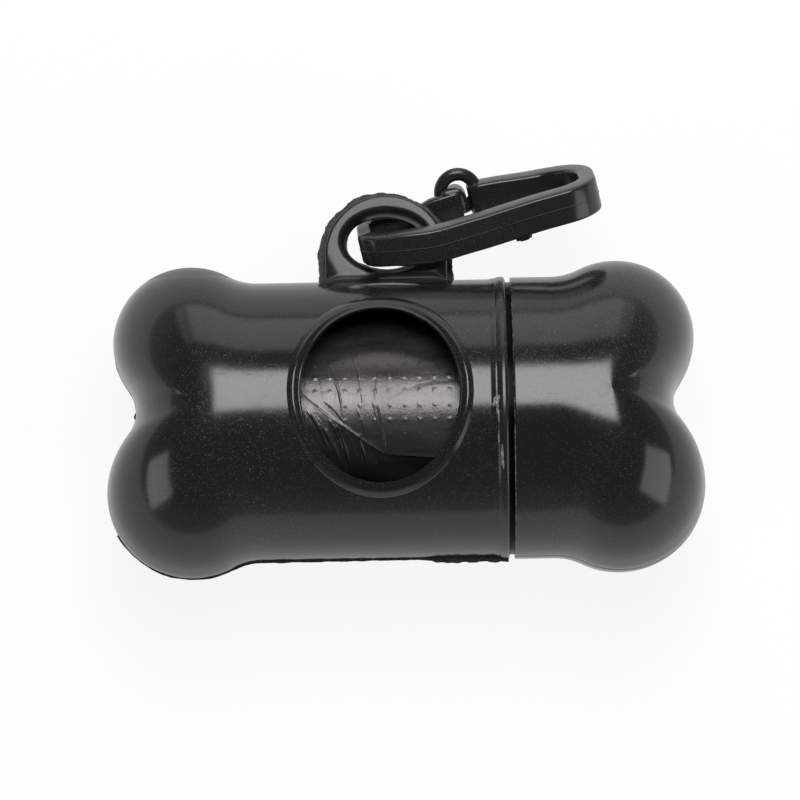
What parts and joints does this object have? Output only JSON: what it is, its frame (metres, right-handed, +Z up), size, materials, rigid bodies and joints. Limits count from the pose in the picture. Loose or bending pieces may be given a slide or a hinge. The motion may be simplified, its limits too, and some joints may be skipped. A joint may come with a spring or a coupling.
{
  "type": "dog poop bag dispenser",
  "caption": "Bone-shaped plastic case for a roll of dog waste bags, with a window to pull them through, a twist-off end cap and a clip on its lug.",
  "frame": {"origin": "middle of the bottom of the whole object's box: z = 0 is the table it lies on, x = 0 the middle of the bone's length, y = 0 the middle of the box across, clip included", "axes": "+X along the bone towards the cap, +Y towards the lug and the clip, +Z up out of the window"},
  "size_m": [0.0852, 0.0594, 0.0407],
  "materials": {
    "case_plastic": "glossy black moulded plastic with fine scuffs and dust",
    "collar_plastic": "glossy black, with whitish glue smears beside the lip",
    "clip_plastic": "satin black moulded plastic with a parting line",
    "bag_film": "thin dark grey film, soft sheen, wound and creased",
    "core_card": null
  },
  "bodies": {
    "case": {"body_front_shell": "case_plastic", "body_rear_shell": "case_plastic", "neck_collar": "collar_plastic"},
    "cap_socket": {"cap_sleeve": "collar_plastic"},
    "cap": {"cap_front_shell": "case_plastic", "cap_rear_shell": "case_plastic"},
    "roll": {"roll_core": "core_card", "bag_roll": "bag_film", "bag_tail": "bag_film"},
    "clip": {"clip_strap": "clip_plastic"},
    "gate": {"clip_gate": "clip_plastic"}
  },
  "joints": [
    {"name": "cap_pull", "type": "slide", "parent": "case", "child": "cap_socket", "axis": [1, 0, 0], "range_m": [0, 0.03]},
    {"name": "cap_turn", "type": "hinge", "parent": "cap_socket", "child": "cap", "pos_m": [0.018, -0.00742, 0.02035], "axis": [1, 0, 0], "continuous": true},
    {"name": "roll_spin", "type": "hinge", "parent": "case", "child": "roll", "pos_m": [0, -0.00742, 0.01965], "axis": [1, 0, 0], "continuous": true},
    {"name": "clip_swing", "type": "hinge", "parent": "case", "child": "clip", "pos_m": [-0.0023, 0.01828, 0.02035], "axis": [0, 0, 1], "range_deg": [-5, 150]},
    {"name": "clip_gate_flex", "type": "hinge", "parent": "clip", "child": "gate", "pos_m": [0.01863, 0.02654, 0.01482], "axis": [0.2057, -0.8751, -0.4381], "range_deg": [0, 16], "stiffness_Nm_per_rad": 0.04}
  ]
}
